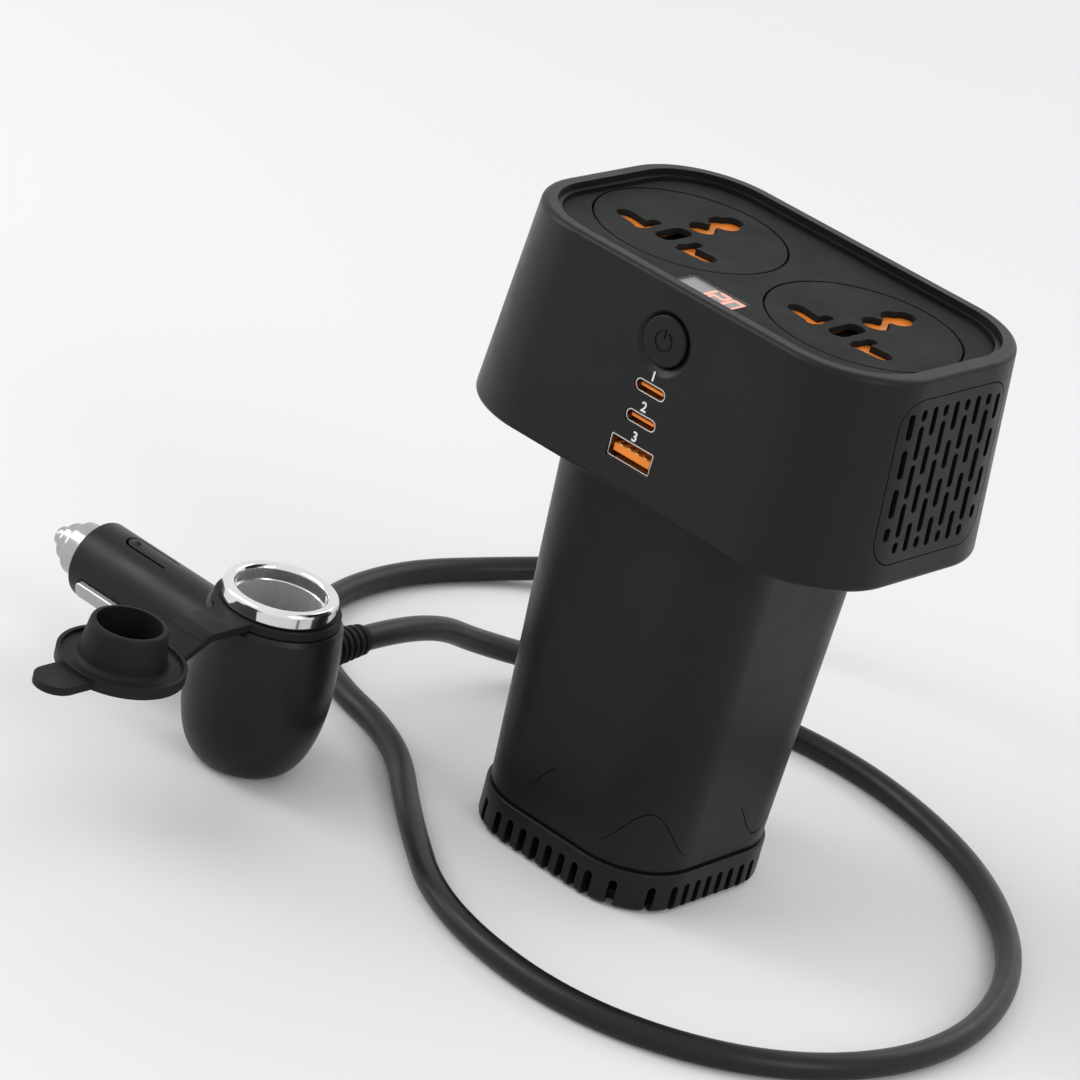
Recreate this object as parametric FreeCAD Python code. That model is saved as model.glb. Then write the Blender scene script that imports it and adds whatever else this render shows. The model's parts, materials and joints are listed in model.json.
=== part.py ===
import FreeCAD, Part
import math
import os

V = FreeCAD.Vector
X, Y, Z = V(1, 0, 0), V(0, 1, 0), V(0, 0, 1)

# Clearances, and how far a cut runs past the face that it opens
seat_gap = 0.1
slide_gap = 0.3
shaft_gap = 0.05
room_gap = 0.4
past = 1.0

# Outlets in the head's top
socket_r = 23.6
socket_web = 6.8
face_gap = 0.6
face_drop = 0.05
face_skin = 1.6
plate_thickness = 2.2
plate_end_margin = 0.9
plate_side_margin = 7.8
blade_x = 6.6
blade_width = 2.7
pin_low = -13.0
pin_high = -4.0
round_pin_x = 7.2
round_pin_r = 2.5
pin_reach = 15.3
round_pin_near_drop = 1.5
round_pin_far_drop = 0.7
centre_pin_r = 2.5
centre_pin_low = -12.1
centre_pin_high = -0.8
earth_near_y = 4.6
earth_near_r = 3.5
earth_far_y = 12.8
earth_far_r = 4.0
earth_end_r = 2.6
earth_end_y = 16.2
earth_slot_width = 2.4
well_depth = 16.4
well_body_r = 22.0
well_floor = 2.0
well_seat = 2.4
flange_thickness = 4.2
clip_thickness = 0.8
clip_height = 12.0
side_clip_x = 10.2
side_clip_half = 4.2
side_clip_reach = 4.4
earth_clip_y = 9.6
earth_clip_half = 4.0
earth_clip_reach = 8.4

# Head
head_height = 52.3
head_wall = 2.6
head_floor = 2.4
head_flare_x = 4.0
head_flare_y = 3.0
head_corner_top = 23.6
head_corner_bottom = 25.8
rim_width = 3.6
rim_rise = 2.6
rim_round = 1.5
bezel_width = 1.3
bezel_rise = 1.2
ledge_width = 2.6
ledge_thickness = 1.3
cable_well_margin = 3.5
screw_inset = 9.65
screw_r = 1.4
screw_head_r = 3.0
screw_head_height = 1.8
screw_reach = 10.0

# Shutters
shutter_thickness = 1.4
shutter_travel = 10.0
shutter_arm = 16.4
shutter_margin = 1.4
shutter_bridge = 1.0
shutter_stem = 5.0
shutter_stem_end = 19.6
shutter_throat = 4.4
shutter_throat_end = 2.0
spring_offset = 9.0
spring_r = 0.7
spring_wall = 0.3
spring_packed = 3.6

# Display
display_length = 17.6
display_width = 7.6
display_edge = 3.8
display_depth = 4.5
display_frame = 1.4
display_corner = 0.6
panel_rise = 1.5
panel_air = 0.2
digit_height = 5.4
digit_width = 3.0
digit_pitch = 4.2
digit_stroke = 0.8
digit_shift = 2.0

# Front of the head, heights above the head's underside
button_rise = 39.0
usb_c_high_rise = 26.65
usb_c_low_rise = 18.85
usb_a_rise = 10.1
button_r = 6.2
button_proud = 0.3
button_travel = 0.8
button_edge = 0.5
button_lip = 0.8
button_lip_thickness = 1.0
button_stem_r = 2.0
button_stem_length = 5.5
dish_r = 7.8
dish_depth = 0.9
mark_r = 2.4
mark_width = 0.6
mark_depth = 0.3
mark_gap = 0.9
switch_half = 3.0
switch_cap_r = 1.6
switch_cap_height = 1.0
usb_c_width = 9.2
usb_c_height = 3.2
usb_a_width = 13.1
usb_a_height = 5.7
usb_a_corner = 0.5
usb_shell = 0.3
usb_depth = 14.0
usb_sunk = 0.3
usb_reach = 7.0
usb_tongue_back = 0.8
usb_c_tongue_side = 1.2
usb_c_tongue_half = 0.35
usb_a_tongue_side = 1.0
usb_a_tongue_low = 1.5
usb_a_tongue_high = 0.4
contact_strip_width = 1.1
contact_strip_height = 0.25
contact_strip_pitch = 2.5
contact_strip_count = 4

# Port board behind the ports, on four posts
board_thickness = 1.6
board_back_off = 4.6
board_half_width = 16.0
post_x = 13.0
post_z = 15.0
post_r = 2.6
post_wall = 1.0
post_drop = 2.0
board_screw_r = 1.1
board_screw_head_r = 2.3
board_screw_reach = 5.0

# End grilles
grille_length = 40.4
grille_height = 41.2
grille_corner = 7.0
grille_rise = 26.8
grille_gap = 0.3
grille_columns = 9
grille_side_margin = 3.6
grille_end_margin = 1.4
grille_slot_width = 1.9
grille_long_bridge = 1.1
grille_short_bridge = 2.4
grille_dot = 2.9
grille_dot_shift = 2.0
grille_edge_margin = 0.6
grille_edge_stretch = 3.0

# Column
base_height = 11.3
column_length = 92.8
column_half_base = 29.55
column_half_top = 32.45
column_corner = 17.9
column_wall = 2.2
wave_rise = 10.0
wave_height = 11.6
wave_width = 0.5
wave_depth = 0.4
wave_step = 0.04
wave_fade = 0.08
wave_arcs = [(1.0, 1.24), (1.48, 1.99), (2.26, 2.72), (3.0, 3.24), (3.48, 3.99), (4.26, 4.72)]
rail_depth = 2.0
rail_wall = 1.6
rail_end = 6.0
screw_boss_r = 4.2
screw_boss_length = 14.0

# Vented base
tray_wall = 3.5
tray_floor = 2.4
tray_proud = 0.9
tray_round = 1.6
tray_edge = 0.4
seam_height = 0.5
seam_depth = 0.8
foot_stand_off = 0.4
foot_half = 20.5
foot_corner = 8.0
foot_thickness = 1.5
vent_width = 2.1
vent_top = 7.5
vent_pitch = 4.26
vents_per_face = 8
vent_depth = 4.8
corner_vent_angle = 29.0

# Fan
fan_size = 40.0
fan_height = 10.0
fan_lift = 14.0
fan_frame_wall = 1.2
fan_tip_gap = 0.6
fan_hub_r = 9.0
fan_shaft_r = 1.0
fan_plate = 2.0
fan_spokes = 3
fan_spoke_width = 2.4
fan_spoke_start = 30.0
fan_blades = 7
fan_blade_chord = 8.4
fan_blade_thickness = 1.2
fan_pitch_angle = 38.0
fan_hole_inset = 4.0
fan_post_r = 2.6
fan_screw_head_r = 2.9
fan_screw_reach = 6.0

# Power electronics in the column
pcb_half_width = 24.0
pcb_length = 74.0
pcb_offset = 8.0
pcb_lift = 3.3
capacitor_r = 6.3
capacitor_length = 20.0
capacitor_margin = 4.0
capacitor_spacing = 2.4
core_width = 32.0
core_depth = 20.0
core_height = 28.0
core_yoke = 5.0
core_margin = 6.0
coil_build = 5.5
coil_end_gap = 0.2
sink_width = 38.0
sink_height = 42.0
sink_plate = 3.0
sink_margin = 10.0
fin_depth = 5.0
fin_thickness = 1.5
fin_count = 7
chip_count = 4
chip_half = 4.0
chip_height = 15.0
chip_depth = 4.5
chip_margin = 8.0

# Adapter: a socket barrel with a plug at right angles
barrel_x = -71.5
barrel_y = -62.3
barrel_r = 18.3
barrel_top = 43.6
barrel_slit_width = 0.6
barrel_slit_depth = 1.0
barrel_slit_low = 3.0
barrel_slit_high = 8.5
barrel_slit_angle = 35.0
neck_r = 13.2
neck_height = 2.6
shoulder_share = 0.885
sleeve_r = 11.0
sleeve_wall = 1.0
chrome_r = 14.4
chrome_height = 3.9
chrome_mouth_r = 11.35
chrome_round = 1.2
floor_height = 8.0
stud_r = 3.0
stud_head_r = 4.4
stud_head_height = 1.5

# Plug
plug_axis = 25.5
plug_r = 10.25
plug_reach = 59.0
plug_wall = 2.2
plug_round = 0.8
nose_length = 10.2
nose_step = 6.6
nose_r = 7.2
nose_end_r = 5.2
nose_shoulder = 1.0
nose_notch = 0.4
nose_insert = 3.2
nose_insert_wall = 1.5
tip_r = 2.7
tip_proud = 3.8
tip_bevel = 0.7
tip_taper = 1.6
tip_travel = 3.0
tip_seat = 2.0
tip_flange_r = 4.6
tip_flange = 1.7
tip_spring_r = 2.6
tip_spring_wall = 0.7
spring_solid_length = 6.0
fuse_r = 3.1
fuse_length = 22.0
holder_back = 4.0
holder_end = 2.0
side_contact_start = 4.4
side_contact_width = 4.4
side_contact_length = 15.5
side_contact_proud = 1.5
side_contact_strip = 0.7
side_contact_corner = 1.4
side_contact_round = 0.6
side_contact_droop = 20.0
side_contact_hook = 0.8
side_contact_room = 3.4
side_contact_depth = 4.6
tongue_start = 9.0
tongue_length = 15.0
tongue_half = 2.6
tongue_slit = 0.7
bump_r = 1.3

# Dust cap and its strap
cap_flange_r = 15.7
cap_lip_width = 1.0
cap_lip_height = 0.8
cap_cup_r = 10.6
cap_mouth_r = 9.4
cap_bore_r = 8.0
cap_height = 9.8
cap_thickness = 2.0
cap_flare = 1.8
cap_round = 0.8
hinge_distance = 26.0
hinge_gap = 0.15
strap_width = 11.0
strap_thickness = 2.0
collar_proud = 1.4
cap_lift = 0.3
tab_reach = 26.5
tab_width = 11.0

# Cord and its strain reliefs
cord_r = 3.25
relief_length = 18.5
relief_root_r = 5.5
relief_tip_r = 4.0
relief_ribs = 8
relief_start = 0.6
relief_flange = 1.4
relief_flange_thickness = 1.7
relief_flange_gap = 0.8
relief_throat = 0.5
relief_neck = 2.5
relief_depth = 4.5
rib_share = 0.45
rib_slope = 0.06
rib_depth = 1.2
cord_exit_x = -18.0
cord_exit_rise = 10.0

# Places that follow from the sizes above
head_base = base_height + column_length
head_top = head_base + head_height
plate_top = head_top - rim_rise
plate_under = plate_top - plate_thickness
face_top = plate_top - face_drop
socket_x = socket_r + socket_web / 2
plate_hx = socket_x + socket_r + plate_end_margin
plate_hy = socket_r + plate_side_margin
recess_hx = plate_hx + bezel_width + 2 * seat_gap
recess_hy = plate_hy + bezel_width + 2 * seat_gap
top_hx = recess_hx + rim_width
top_hy = recess_hy + rim_width
recess_corner = head_corner_top - rim_width
plate_corner = recess_corner - bezel_width - 2 * seat_gap
throat_hx = recess_hx - ledge_width
throat_hy = recess_hy - ledge_width
throat_corner = recess_corner - ledge_width
display_y = -plate_hy + display_edge + display_width / 2
board_back = -(top_hy - head_wall) + usb_depth - board_back_off
board_face = board_back - board_thickness
board_middle = head_base + grille_rise - post_drop
shutter_high = face_top - face_skin - seat_gap
shutter_low = shutter_high - shutter_thickness
pocket_floor = shutter_low - seat_gap
pocket_top = shutter_high + seat_gap
carrier_under = plate_under - flange_thickness
well_base = carrier_under + well_seat - well_depth
head_screw_at = column_half_top - screw_inset
button_z = head_base + button_rise
cord_exit_z = head_base + cord_exit_rise
tray_half = column_half_base + tray_proud
fan_top = fan_lift + fan_height
fan_bore_r = fan_size / 2 - fan_frame_wall
fan_tip_r = fan_bore_r - fan_tip_gap
fan_post_at = fan_size / 2 - fan_hole_inset
pcb_foot = fan_top + pcb_lift
pcb_rear = pcb_offset + board_thickness
nose_x = barrel_x - plug_reach
inner_r = plug_r - plug_wall
side_contact_x = nose_x + side_contact_start
shoulder = barrel_top - neck_height
rim_high = barrel_top + chrome_height
strap_low = shoulder + hinge_gap
strap_high = strap_low + strap_thickness
hinge_y = barrel_y - hinge_distance
hinge_z = strap_high + hinge_gap
cap_y = barrel_y - 2 * hinge_distance
cap_face = 2 * hinge_z - (rim_high + cap_lift)
cap_low = cap_face - cap_thickness


def head_half(z, inset=0.0):
    """Half length, half width and corner radius of the head's outline at a height."""
    t = (head_top - z) / head_height
    corner = head_corner_top + (head_corner_bottom - head_corner_top) * t
    return top_hx + head_flare_x * t - inset, top_hy + head_flare_y * t - inset, corner - inset


def front_y(z):
    """The head's front face at a height."""
    return -head_half(z)[1]


def column_half(z):
    """Half width of the column's outline at a height."""
    t = (z - base_height) / column_length
    return column_half_base + (column_half_top - column_half_base) * t


def rounded(hx, hy, r, z, cx=0.0, cy=0.0):
    """Wire of a rounded rectangle in a level plane."""
    ends = []
    for sx, sy, start in [(1, -1, -90), (1, 1, 0), (-1, 1, 90), (-1, -1, 180)]:
        centre = V(cx + sx * (hx - r), cy + sy * (hy - r), z)
        pts = []
        for turn in (0, 45, 90):
            a = math.radians(start + turn)
            pts.append(centre + V(r * math.cos(a), r * math.sin(a), 0))
        ends.append(pts)
    edges = []
    for k, pts in enumerate(ends):
        edges.append(Part.Arc(*pts).toShape())
        edges.append(Part.makeLine(pts[2], ends[(k + 1) % 4][0]))
    return Part.Wire(edges)


def block(hx, hy, r, z0, z1, cx=0.0, cy=0.0):
    """Upright rounded block."""
    return Part.Face(rounded(hx, hy, r, z0, cx, cy)).extrude(V(0, 0, z1 - z0))


def box(x0, x1, y0, y1, z0, z1):
    return Part.makeBox(x1 - x0, y1 - y0, z1 - z0, V(x0, y0, z0))


def tube(r, z0, z1, cx=0.0, cy=0.0):
    """Upright round rod."""
    return Part.makeCylinder(r, z1 - z0, V(cx, cy, z0), Z)


def rod(r, start, end):
    """Round rod between two points."""
    way = end - start
    return Part.makeCylinder(r, way.Length, start, way)


def slot(p, q, width, z0, z1):
    """Upright prism of a round-ended slot between two (x, y) centres."""
    r = width / 2
    way = V(q[0] - p[0], q[1] - p[1], 0)
    side = V(-way.y, way.x, 0).normalize() * r
    a, b = V(p[0], p[1], z0), V(q[0], q[1], z0)
    tip = V(way).normalize() * r
    edges = [Part.makeLine(a - side, b - side), Part.Arc(b - side, b + tip, b + side).toShape(),
             Part.makeLine(b + side, a + side), Part.Arc(a + side, a - tip, a - side).toShape()]
    return Part.Face(Part.Wire(edges)).extrude(V(0, 0, z1 - z0))


def revolve(points, base, axis, out):
    """Solid of revolution from (radius, height) points, measured from base along axis."""
    pts = [base + out * r + axis * h for r, h in points]
    face = Part.Face(Part.makePolygon(pts + [pts[0]]))
    return face.revolve(base, axis, 360)


def head_block(inset, z0, z1):
    """The head's flared outline between two heights, drawn in by inset."""
    sections = []
    for z in (z0, z1):
        hx, hy, r = head_half(z, inset)
        sections.append(rounded(hx, hy, r, z))
    return Part.makeLoft(sections, True, True)


def column_block(inset, z0, z1):
    """The column's tapered outline between two heights, drawn in by inset."""
    sections = []
    for z in (z0, z1):
        half = column_half(z) - inset
        sections.append(rounded(half, half, column_corner - inset, z))
    return Part.makeLoft(sections, True, True)


def fuse(shapes):
    solid = shapes[0]
    if len(shapes) > 1:
        solid = solid.multiFuse(shapes[1:])
    return solid.removeSplitter()


def cut(shape, tools):
    return shape.cut(Part.Compound(tools))


def moved(shape, x=0.0, y=0.0, z=0.0):
    copy = shape.copy()
    copy.translate(V(x, y, z))
    return copy


def both(shape):
    """A right-hand shape and its mirror image at the left."""
    return [shape, shape.mirror(V(0, 0, 0), X)]


def corners(x, y):
    return [(sx * x, sy * y) for sx in (-1, 1) for sy in (-1, 1)]


def lying(shape, y, z):
    """Turns an upright shape so that it points to the back, with its base at (y, z)."""
    copy = shape.copy()
    copy.rotate(V(0, 0, 0), X, -90)
    copy.translate(V(0, y, z))
    return copy


parts = {}


def keep(name, shape):
    """Keeps a piece under its node name."""
    parts[name] = shape


def keep_pair(name, shape):
    """Keeps a piece of the right-hand end and its mirror image at the left."""
    keep(name + "_right", shape)
    keep(name + "_left", shape.mirror(V(0, 0, 0), X))


# Head shell, its openings and the posts inside it
def port_corner(height):
    """Corner radius of a port with round ends."""
    return height / 2 - 0.01


ports = {
    "usb_c_upper": (head_base + usb_c_high_rise, usb_c_width, usb_c_height, port_corner(usb_c_height)),
    "usb_c_lower": (head_base + usb_c_low_rise, usb_c_width, usb_c_height, port_corner(usb_c_height)),
    "usb_a": (head_base + usb_a_rise, usb_a_width, usb_a_height, usb_a_corner),
}
board_posts = [(x, board_middle + z) for x, z in corners(post_x, post_z)]
head_screws_at = corners(head_screw_at, head_screw_at)


def end_prism(grow):
    """Rounded outline of an end grille, as a prism along X."""
    half_l, half_h = grille_length / 2 + grow, grille_height / 2 + grow
    prism = block(half_h, half_l, grille_corner + grow, 0, head_corner_bottom)
    prism.rotate(V(0, 0, 0), Y, 90)
    prism.translate(V(top_hx - head_corner_top + head_flare_x, 0, head_base + grille_rise))
    return prism


def make_head():
    body = head_block(0, head_base, head_top)
    level = [e for e in body.Edges if e.BoundBox.ZLength < seat_gap]
    body = body.makeFillet(rim_round, level)
    ledge_base = plate_under - ledge_thickness
    floor_top = head_base + head_floor
    hollows = [head_block(head_wall, floor_top, ledge_base),
               block(throat_hx, throat_hy, throat_corner, ledge_base, plate_under),
               block(recess_hx, recess_hy, recess_corner, plate_under, head_top + past),
               tube(column_half_base - cable_well_margin, head_base - past, floor_top + past)]
    posts = [rod(post_r, V(x, front_y(z) + post_wall, z), V(x, board_face, z)) for x, z in board_posts]
    shell = fuse([cut(body, hollows)] + posts)
    pilot_end = board_face - board_screw_reach - past
    holes = [rod(board_screw_r, V(x, pilot_end, z), V(x, 0, z)) for x, z in board_posts]
    face = front_y(button_z)
    button_hole = button_r + slide_gap
    holes.append(rod(button_hole, V(0, face - rim_width, button_z), V(0, face + 2 * rim_width, button_z)))
    holes.append(Part.makeCone(2 * dish_r - button_hole, button_hole, 2 * dish_depth,
                               V(0, face - dish_depth, button_z), Y))
    for z, width, height, corner in ports.values():
        window = block(width / 2 + seat_gap, height / 2 + seat_gap, corner, 0, usb_depth / 2)
        holes.append(lying(window, front_y(z) - past, z))
    holes += both(end_prism(0))
    cord_y = head_half(cord_exit_z)[1]
    holes.append(rod(relief_root_r - room_gap, V(cord_exit_x, cord_y - 2 * head_wall, cord_exit_z),
                     V(cord_exit_x, cord_y + past, cord_exit_z)))
    holes += [tube(screw_r + slide_gap, head_base - past, floor_top + past, x, y)
              for x, y in head_screws_at]
    return cut(shell, holes)


keep("head_shell", make_head())

# Bezel and outlet plate
bezel_top = plate_top + bezel_rise


def make_bezel():
    ring = block(recess_hx - seat_gap, recess_hy - seat_gap, recess_corner - seat_gap,
                 plate_under, bezel_top)
    bore = block(plate_hx + seat_gap, plate_hy + seat_gap, plate_corner + seat_gap,
                 plate_under - past, bezel_top + past)
    return ring.cut(bore)


# Space that a shutter and its springs slide in, about the socket's centre
arm_low = pin_low - shutter_margin
window_low = pin_high + room_gap
window_high = window_low + shutter_travel
arm_high = window_high + shutter_bridge
pocket_low = arm_low - shutter_travel - room_gap
spring_end = pocket_low - spring_packed


def shutter_room(z0, z1):
    boxes = [box(-shutter_arm - room_gap, shutter_arm + room_gap, pocket_low, arm_high + room_gap, z0, z1),
             box(-shutter_stem - room_gap, shutter_stem + room_gap, 0, shutter_stem_end + room_gap, z0, z1)]
    for side in (-1, 1):
        middle = side * spring_offset
        half = spring_r + 2 * seat_gap
        boxes.append(box(middle - half, middle + half, spring_end, pocket_low + past, z0, z1))
    return fuse(boxes)


def make_plate():
    plate = block(plate_hx, plate_hy, plate_corner, plate_under, plate_top)
    holes = both(tube(socket_r + face_gap, plate_under - past, plate_top + past, socket_x))
    holes += both(moved(shutter_room(plate_under - past, pocket_top), socket_x))
    holes.append(block(display_length / 2, display_width / 2, display_corner, plate_under - past,
                       plate_top + past, 0, display_y))
    return cut(plate, holes)


keep("top_bezel", make_bezel())
keep("top_plate", make_plate())


# Socket faces
def pin_holes(z0, z1):
    """The many-standard hole pattern, about the socket's centre."""
    middle = (pin_low + pin_high) / 2
    reach = blade_width / 2
    tools = []
    for side in (-1, 1):
        blade = side * blade_x
        tools.append(slot((blade, pin_low + reach), (blade, pin_high - reach), blade_width, z0, z1))
        near = (side * round_pin_x, middle - round_pin_near_drop)
        far = (side * (pin_reach - round_pin_r), middle - round_pin_far_drop)
        tools.append(slot(near, far, 2 * round_pin_r, z0, z1))
    tools.append(slot((0, centre_pin_low + centre_pin_r), (0, centre_pin_high - centre_pin_r),
                      2 * centre_pin_r, z0, z1))
    tools.append(tube(earth_near_r, z0, z1, 0, earth_near_y))
    tools.append(slot((0, earth_near_y - earth_near_r + past), (0, earth_far_y - earth_far_r),
                      earth_slot_width, z0, z1))
    tools.append(tube(earth_far_r, z0, z1, 0, earth_far_y))
    tools.append(slot((0, earth_far_y), (0, earth_end_y), 2 * earth_end_r, z0, z1))
    return fuse(tools)


def make_socket_face():
    disc = tube(socket_r, plate_under, face_top)
    return cut(disc, [pin_holes(plate_under - past, plate_top + past),
                      shutter_room(plate_under - past, pocket_top)])


keep_pair("socket_face", moved(make_socket_face(), socket_x))


# Socket carriers: a flange under the plate and a body with a well for each pin
def make_carrier():
    flange = block(throat_hx - slide_gap, throat_hy - slide_gap, throat_corner - slide_gap,
                   carrier_under, plate_under)
    other_half = box(-throat_hx, slide_gap, -throat_hy, throat_hy,
                     carrier_under - past, plate_under + past)
    display_room = box(0, display_length / 2 + display_frame + 2 * seat_gap,
                       -throat_hy, display_y + display_width / 2 + display_frame,
                       carrier_under - past, plate_under + past)
    flange = moved(cut(flange, [other_half, display_room]), -socket_x)
    carrier = fuse([flange, tube(well_body_r, well_base - well_floor, carrier_under)])
    wells = [shutter_room(pocket_floor, pocket_top)]
    earth_half = shutter_stem - room_gap
    centre_half = centre_pin_r + 2 * seat_gap
    wells.append(box(-earth_half, earth_half, seat_gap, earth_end_y + earth_end_r, well_base, pocket_top))
    wells.append(box(-centre_half, centre_half, centre_pin_low - seat_gap, centre_pin_high + 2 * seat_gap,
                     well_base, pocket_top))
    for side in (-1, 1):
        near, far = blade_x - blade_width / 2 - room_gap, pin_reach + slide_gap
        inner, outer = sorted((side * near, side * far))
        wells.append(box(inner, outer, pin_low - room_gap, pin_high + room_gap, well_base, pocket_top))
    return cut(carrier, wells)


def clip(x, y, half, reach):
    """Two springy blades on a foot that grip a pin."""
    foot_top = well_base + clip_thickness
    foot = box(x - half, x + half, y - reach, y + reach, well_base, foot_top)
    near = box(x - half, x + half, y - reach, y - reach + clip_thickness, foot_top, well_base + clip_height)
    far = box(x - half, x + half, y + reach - clip_thickness, y + reach, foot_top, well_base + clip_height)
    return fuse([foot, near, far])


def make_contacts():
    middle = (pin_low + pin_high) / 2
    clips = [clip(side * side_clip_x, middle, side_clip_half, side_clip_reach) for side in (-1, 1)]
    clips.append(clip(0, earth_clip_y, earth_clip_half, earth_clip_reach))
    return Part.Compound(clips)


keep_pair("socket_carrier", moved(make_carrier(), socket_x))
keep_pair("socket_contacts", moved(make_contacts(), socket_x))


# Shutters with their return springs
def make_shutter():
    arms = box(-shutter_arm, shutter_arm, arm_low, arm_high, shutter_low, shutter_high)
    stem = box(-shutter_stem, shutter_stem, 0, shutter_stem_end, shutter_low, shutter_high)
    low, high = shutter_low - past, shutter_high + past
    gaps = [box(-shutter_throat, shutter_throat, arm_low - past, shutter_throat_end, low, high)]
    for side in (-1, 1):
        inner, outer = sorted((side * (shutter_stem + 2 * seat_gap), side * (pin_reach + 2 * seat_gap)))
        gaps.append(box(inner, outer, window_low, window_high, low, high))
    return cut(fuse([arms, stem]), gaps)


def make_shutter_springs():
    tubes = []
    for side in (-1, 1):
        start = V(side * spring_offset, spring_end + seat_gap, shutter_low + spring_r)
        end = V(side * spring_offset, arm_low, shutter_low + spring_r)
        tubes.append(rod(spring_r, start, end).cut(rod(spring_r - spring_wall, start, end)))
    return Part.Compound(tubes)


keep_pair("shutter", moved(make_shutter(), socket_x))
keep_pair("shutter_springs", moved(make_shutter_springs(), socket_x))

# Display: module, lit figures and window
module_low = plate_under - display_depth
panel_top = plate_under + panel_rise
segment_table = {"1": "bc", "2": "abged", "0": "abcdef"}


def display_slab(z0, z1):
    return block(display_length / 2 - seat_gap, display_width / 2 - seat_gap, display_corner - seat_gap,
                 z0, z1, 0, display_y)


def make_display_module():
    half_l, half_w = display_length / 2 + display_frame, display_width / 2 + display_frame - slide_gap
    body = box(-half_l, half_l, display_y - half_w, display_y + half_w, module_low, plate_under)
    return fuse([body, display_slab(plate_under, panel_top)])


def digit(sign, x):
    """Seven-segment figure centred at x on the display's panel."""
    w, h, s = digit_width / 2, digit_height / 2, digit_stroke / 2
    spans = {"a": (-w, w, h - s, h + s), "g": (-w, w, -s, s), "d": (-w, w, -h - s, -h + s),
             "b": (w - s, w + s, 0, h), "c": (w - s, w + s, -h, 0),
             "f": (-w - s, -w + s, 0, h), "e": (-w - s, -w + s, -h, 0)}
    bars = []
    for name in segment_table[sign]:
        x0, x1, y0, y1 = spans[name]
        bars.append(box(x + x0, x + x1, display_y + y0, display_y + y1, panel_top, panel_top + seat_gap))
    return fuse(bars)


keep("display_module", make_display_module())
keep("display_digits", Part.Compound([digit(sign, digit_shift + digit_pitch * (k - 1))
                                      for k, sign in enumerate("120")]))
keep("display_window", display_slab(panel_top + panel_air, face_top))

# Power button and its switch
button_front = front_y(button_z) - button_proud
button_back = front_y(button_z) + head_wall + button_travel + shaft_gap
button_end = button_back + button_stem_length


def along_button(r, y0, y1):
    return rod(r, V(0, y0, button_z), V(0, y1, button_z))


def make_button():
    cap = along_button(button_r, button_front, button_back)
    cap = cap.makeFillet(button_edge, [e for e in cap.Edges if e.BoundBox.YMax < button_front + seat_gap])
    lip_back = button_back + button_lip_thickness
    button = fuse([cap, along_button(button_r + button_lip, button_back, lip_back),
                   along_button(button_stem_r, lip_back, button_end)])
    floor = button_front + mark_depth
    half = mark_width / 2
    ring = along_button(mark_r + half, button_front, floor)
    ring = ring.cut(along_button(mark_r - half, button_front, floor))
    ring = ring.cut(box(-mark_gap, mark_gap, button_front, floor, button_z, button_z + 2 * mark_r))
    bar = box(-half, half, button_front, floor, button_z + mark_width, button_z + mark_r + mark_width)
    return cut(button, [ring, bar])


def make_switch():
    front = button_end + button_travel + seat_gap
    back = front + switch_cap_height
    body = box(-switch_half, switch_half, back, board_face, button_z - switch_half, button_z + switch_half)
    return fuse([body, along_button(switch_cap_r, front, back)])


keep("power_button", make_button())
keep("button_switch", make_switch())


# Ports: metal shells, tongues and contacts
def port_room(width, height, corner, inset, y0, y1, z):
    """Prism of a port's outline, drawn in by inset, between two depths."""
    prism = block(width / 2 - inset, height / 2 - inset, max(corner - inset, seat_gap), 0, y1 - y0)
    return lying(prism, y0, z)


for name, (z, width, height, corner) in ports.items():
    mouth = front_y(z) + usb_sunk
    shell = port_room(width, height, corner, 0, mouth, board_face, z)
    shell = shell.cut(port_room(width, height, corner, usb_shell, mouth - past, board_face + past, z))
    keep(name + "_shell", shell)
    deep = mouth + usb_reach
    if name == "usb_a":
        half = width / 2 - usb_a_tongue_side
        low, high = z - usb_a_tongue_low, z + usb_a_tongue_high
    else:
        half = width / 2 - usb_c_tongue_side
        low, high = z - usb_c_tongue_half, z + usb_c_tongue_half
    tongue = box(-half, half, mouth + usb_tongue_back, deep + past, low, high)
    keep(name + "_tongue", fuse([port_room(width, height, corner, usb_shell, deep, board_face, z), tongue]))


def make_port_contacts():
    z = ports["usb_a"][0] + usb_a_tongue_high
    mouth = front_y(ports["usb_a"][0]) + usb_sunk
    front, back = mouth + usb_tongue_back + seat_gap, mouth + usb_reach - seat_gap
    half = contact_strip_width / 2
    strips = []
    for k in range(contact_strip_count):
        x = contact_strip_pitch * (k - (contact_strip_count - 1) / 2)
        strips.append(box(x - half, x + half, front, back, z, z + contact_strip_height))
    return Part.Compound(strips)


keep("usb_a_contacts", make_port_contacts())


# Port board and its screws
def make_port_board():
    board = box(-board_half_width, board_half_width, board_face, board_back,
                head_base + head_floor + slide_gap, module_low)
    holes = [rod(board_screw_r, V(x, board_face - past, z), V(x, board_back + past, z))
             for x, z in board_posts]
    return cut(board, holes)


def board_screw(x, z):
    head = rod(board_screw_head_r, V(x, board_back, z), V(x, board_back + board_thickness, z))
    shank = rod(board_screw_r - shaft_gap, V(x, board_face - board_screw_reach, z), V(x, board_back, z))
    return fuse([head, shank])


keep("port_board", make_port_board())
keep("board_screws", Part.Compound([board_screw(x, z) for x, z in board_posts]))

# End grilles
grille_middle = head_base + grille_rise
grille_pitch = (grille_length - 2 * grille_side_margin) / (grille_columns - 1)
grille_row_pitch = (grille_height - 2 * grille_end_margin) / 4


def grille_slit(y, low, high):
    """One slot of a grille as a prism along X."""
    w = grille_slot_width
    start, end = grille_middle - high + w / 2, grille_middle - low - w / 2
    tool = slot((start, y), (end, y), w, 0, head_corner_bottom)
    tool.rotate(V(0, 0, 0), Y, 90)
    tool.translate(V(top_hx - head_corner_top + head_flare_x, 0, grille_middle))
    return tool


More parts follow.
